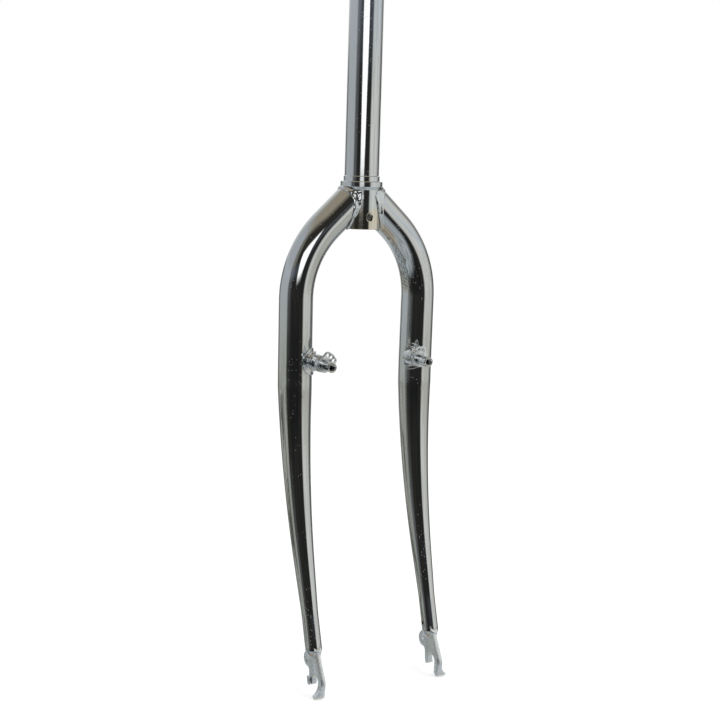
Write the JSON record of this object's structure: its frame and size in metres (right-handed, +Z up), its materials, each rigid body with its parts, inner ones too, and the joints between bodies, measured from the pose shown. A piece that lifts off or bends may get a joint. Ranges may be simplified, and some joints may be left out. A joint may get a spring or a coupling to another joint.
{
  "type": "rigid bicycle fork",
  "caption": "Welded steel bicycle fork: a straight steerer, blades that bend out, taper and sweep forward, brake studs and slotted dropouts, all chrome plated.",
  "frame": {"origin": "on the steerer's axis, level with the shoulder that the headset's lower race rests on", "axes": "+Z up the steerer, -Y forward, +X to the rider's left"},
  "size_m": [0.1398, 0.0777, 0.595],
  "materials": {
    "chrome_tube": "polished chrome plating on drawn steel tube",
    "turned_ring": "chrome plating on a turned sleeve",
    "turned_boss": "chrome plating on a turned stud",
    "plated_plate": "satin plating on stamped steel plate",
    "plated_weld": "chrome plating on rough weld bead"
  },
  "bodies": {
    "root": {"steerer_tube": "chrome_tube", "crown_race_seat": "turned_ring", "left_blade": "chrome_tube", "left_dropout": "plated_plate", "left_brake_boss": "turned_boss", "left_spring_plate": "plated_plate", "left_crown_weld": "plated_weld", "left_boss_weld": "plated_weld", "left_dropout_weld": "plated_weld", "right_blade": "chrome_tube", "right_dropout": "plated_plate", "right_brake_boss": "turned_boss", "right_spring_plate": "plated_plate", "right_crown_weld": "plated_weld", "right_boss_weld": "plated_weld", "right_dropout_weld": "plated_weld"}
  },
  "joints": []
}
